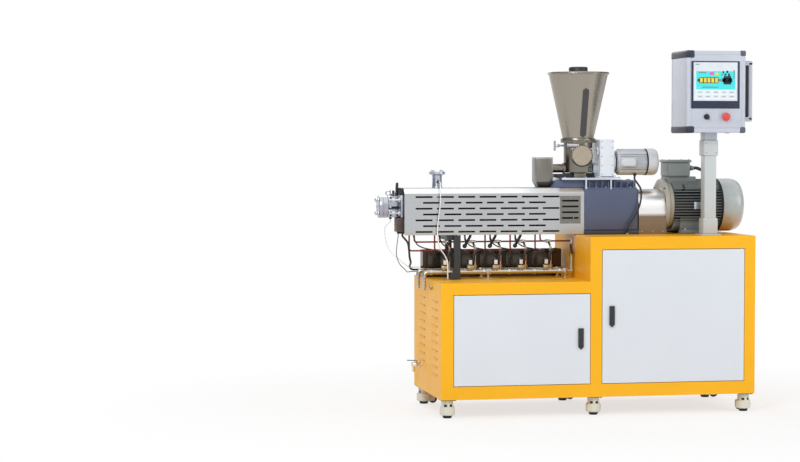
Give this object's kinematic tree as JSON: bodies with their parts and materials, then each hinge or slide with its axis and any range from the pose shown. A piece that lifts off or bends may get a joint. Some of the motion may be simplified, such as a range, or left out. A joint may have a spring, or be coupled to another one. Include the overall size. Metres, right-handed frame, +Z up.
{
  "type": "extruder",
  "caption": "Laboratory twin-screw extruder on a two-level wheeled cabinet, with hopper feeder, slotted barrel cover, motor drive and a swivelling touch screen",
  "frame": {"origin": "on the floor, centre of the machine's footprint", "axes": "+X along the machine from the die to the motor, +Y from the doors to the rear, +Z up"},
  "size_m": [1.832, 0.6682, 1.746],
  "materials": {
    "yellow_paint": "satin powder coat",
    "white_paint": "satin powder coat",
    "stainless": "brushed",
    "screw_steel": "polished",
    "cast_steel": "machined",
    "black_plastic": "moulded",
    "black_paint": "satin",
    "ivory_plastic": "moulded",
    "blue_grey_paint": "satin",
    "motor_paint": "satin",
    "feeder_paint": "satin",
    "screen_aluminium": "anodised",
    "copper": "tarnished copper",
    "brass": "nickel plated",
    "display_glass": "glossy",
    "red_plastic": "moulded",
    "cable_rubber": "matt"
  },
  "bodies": {
    "machine": {"frame_tubes": "yellow_paint", "deck_plates": "yellow_paint", "cabinet_panels": "yellow_paint", "control_gear": "cast_steel", "levelling_feet": "cast_steel", "barrel": "cast_steel", "barrel_heaters": "cast_steel", "barrel_cover": "stainless", "die_head": "cast_steel", "die_bolts": "stainless", "vent_stack": "stainless", "barrel_support": "black_paint", "gearbox_housing": "blue_grey_paint", "coupling_guard": "stainless", "motor_housing": "motor_paint", "terminal_box": "motor_paint", "fan_cowl": "motor_paint", "feeder_stand": "stainless", "feeder_body": "stainless", "sight_glasses": "display_glass", "drop_box": "stainless", "hopper": "stainless", "feeder_gearbox": "feeder_paint", "feeder_motor": "feeder_paint", "screen_column": "feeder_paint", "water_pipes": "stainless", "copper_lines": "copper", "solenoid_valves": "brass", "fittings": "brass", "wiring_trough": "stainless", "cables": "cable_rubber"},
    "door_low": {"door_low": "white_paint"},
    "door_high": {"door_high": "white_paint"},
    "latch_low": {"latch_low": "black_plastic"},
    "latch_high": {"latch_high": "black_plastic"},
    "screw_front": {"screw_front": "screw_steel"},
    "screw_rear": {"screw_rear": "screw_steel"},
    "motor_rotor": {"motor_rotor": "cast_steel"},
    "head_lever": {"head_lever": "black_plastic"},
    "hopper_lid": {"hopper_lid": "stainless"},
    "gate": {"gate_slide": "stainless"},
    "feed_screw": {"feed_screw": "screw_steel"},
    "screen": {"screen_box": "screen_aluminium", "touch_screen": "display_glass"},
    "estop": {"estop_button": "red_plastic"},
    "selector": {"selector_knob": "black_plastic"},
    "valve_lever": {"valve_lever": "black_plastic"},
    "drain_lever": {"drain_lever": "black_plastic"},
    "caster_1": {"caster_body_1": "ivory_plastic"},
    "wheel_1": {"caster_wheel_1": "black_plastic"},
    "caster_2": {"caster_body_2": "ivory_plastic"},
    "wheel_2": {"caster_wheel_2": "black_plastic"},
    "caster_3": {"caster_body_3": "ivory_plastic"},
    "wheel_3": {"caster_wheel_3": "black_plastic"},
    "caster_4": {"caster_body_4": "ivory_plastic"},
    "wheel_4": {"caster_wheel_4": "black_plastic"},
    "caster_5": {"caster_body_5": "ivory_plastic"},
    "wheel_5": {"caster_wheel_5": "black_plastic"},
    "caster_6": {"caster_body_6": "ivory_plastic"},
    "wheel_6": {"caster_wheel_6": "black_plastic"}
  },
  "joints": [
    {"name": "door_low_swing", "type": "hinge", "parent": "machine", "child": "door_low", "pos_m": [-0.592, -0.31785, 0.368], "axis": [0, 0, -1], "range_deg": [0, 110]},
    {"name": "door_high_swing", "type": "hinge", "parent": "machine", "child": "door_high", "pos_m": [0.815, -0.31785, 0.472], "axis": [0, 0, 1], "range_deg": [0, 110]},
    {"name": "latch_low_turn", "type": "hinge", "parent": "door_low", "child": "latch_low", "pos_m": [0.012, -0.32585, 0.3986], "axis": [0, -1, 0], "range_deg": [0, 90]},
    {"name": "latch_high_turn", "type": "hinge", "parent": "door_high", "child": "latch_high", "pos_m": [0.165, -0.32585, 0.5026], "axis": [0, 1, 0], "range_deg": [0, 90]},
    {"name": "caster_swivel_1", "type": "hinge", "parent": "machine", "child": "caster_1", "pos_m": [-0.627, -0.27785, 0.05], "axis": [0, 0, 1], "continuous": true},
    {"name": "wheel_roll_1", "type": "hinge", "parent": "caster_1", "child": "wheel_1", "pos_m": [-0.627, -0.23385, 0.024], "axis": [-1, 0, 0], "continuous": true},
    {"name": "caster_swivel_2", "type": "hinge", "parent": "machine", "child": "caster_2", "pos_m": [0.0885, -0.27785, 0.05], "axis": [0, 0, 1], "continuous": true},
    {"name": "wheel_roll_2", "type": "hinge", "parent": "caster_2", "child": "wheel_2", "pos_m": [0.0931, -0.23409, 0.024], "axis": [-0.9945, 0.1045, 0], "continuous": true},
    {"name": "caster_swivel_3", "type": "hinge", "parent": "machine", "child": "caster_3", "pos_m": [0.843, -0.27785, 0.05], "axis": [0, 0, 1], "continuous": true},
    {"name": "wheel_roll_3", "type": "hinge", "parent": "caster_3", "child": "wheel_3", "pos_m": [0.83764, -0.23418, 0.024], "axis": [-0.9925, -0.1219, 0], "continuous": true},
    {"name": "caster_swivel_4", "type": "hinge", "parent": "machine", "child": "caster_4", "pos_m": [-0.627, 0.28615, 0.05], "axis": [0, 0, 1], "continuous": true},
    {"name": "wheel_roll_4", "type": "hinge", "parent": "caster_4", "child": "wheel_4", "pos_m": [-0.583, 0.28615, 0.024], "axis": [0, 1, 0], "continuous": true},
    {"name": "caster_swivel_5", "type": "hinge", "parent": "machine", "child": "caster_5", "pos_m": [0.0885, 0.28615, 0.05], "axis": [0, 0, 1], "continuous": true},
    {"name": "wheel_roll_5", "type": "hinge", "parent": "caster_5", "child": "wheel_5", "pos_m": [0.12985, 0.3012, 0.024], "axis": [-0.342, 0.9397, 0], "continuous": true},
    {"name": "caster_swivel_6", "type": "hinge", "parent": "machine", "child": "caster_6", "pos_m": [0.843, 0.28615, 0.05], "axis": [0, 0, 1], "continuous": true},
    {"name": "wheel_roll_6", "type": "hinge", "parent": "caster_6", "child": "wheel_6", "pos_m": [0.88288, 0.26755, 0.024], "axis": [0.4226, 0.9063, 0], "continuous": true},
    {"name": "main_drive", "type": "hinge", "parent": "machine", "child": "motor_rotor", "pos_m": [0.633, 0.03415, 0.993], "axis": [1, 0, 0], "continuous": true},
    {"name": "screw_front_turn", "type": "hinge", "parent": "machine", "child": "screw_front", "pos_m": [-0.367, 0.02515, 0.993], "axis": [1, 0, 0], "continuous": true},
    {"name": "screw_rear_turn", "type": "hinge", "parent": "machine", "child": "screw_rear", "pos_m": [-0.367, 0.04315, 0.993], "axis": [1, 0, 0], "continuous": true},
    {"name": "feed_screw_turn", "type": "hinge", "parent": "machine", "child": "feed_screw", "pos_m": [0.073, 0.03415, 1.1765], "axis": [1, 0, 0], "continuous": true},
    {"name": "hopper_lid_lift", "type": "slide", "parent": "machine", "child": "hopper_lid", "axis": [0, 0, 1], "range_m": [0, 0.25]},
    {"name": "gate_pull", "type": "slide", "parent": "machine", "child": "gate", "axis": [-1, 0, 0], "range_m": [0, 0.1]},
    {"name": "head_lever_turn", "type": "hinge", "parent": "machine", "child": "head_lever", "pos_m": [-0.813, 0.03415, 1.06], "axis": [0, 0, 1], "range_deg": [0, 90]},
    {"name": "screen_swivel", "type": "hinge", "parent": "machine", "child": "screen", "pos_m": [0.696, -0.17385, 1.29], "axis": [0, 0, 1], "range_deg": [-60, 60]},
    {"name": "estop_press", "type": "slide", "parent": "screen", "child": "estop", "axis": [0, 1, 0], "range_m": [0, 0.006], "stiffness_N_per_m": 800},
    {"name": "selector_turn", "type": "hinge", "parent": "screen", "child": "selector", "pos_m": [0.6475, -0.28085, 1.426], "axis": [0, 1, 0], "range_deg": [0, 90]},
    {"name": "valve_lever_turn", "type": "hinge", "parent": "machine", "child": "valve_lever", "pos_m": [0.041, -0.05485, 0.7639], "axis": [0, -1, 0], "range_deg": [0, 90]},
    {"name": "drain_lever_turn", "type": "hinge", "parent": "machine", "child": "drain_lever", "pos_m": [-0.69, 0.17415, 0.225], "axis": [0, 0, 1], "range_deg": [0, 90]}
  ],
  "couplings": [
    {"joint": "screw_front_turn", "follows": "main_drive", "ratio": 0.4},
    {"joint": "screw_rear_turn", "follows": "main_drive", "ratio": 0.4}
  ]
}
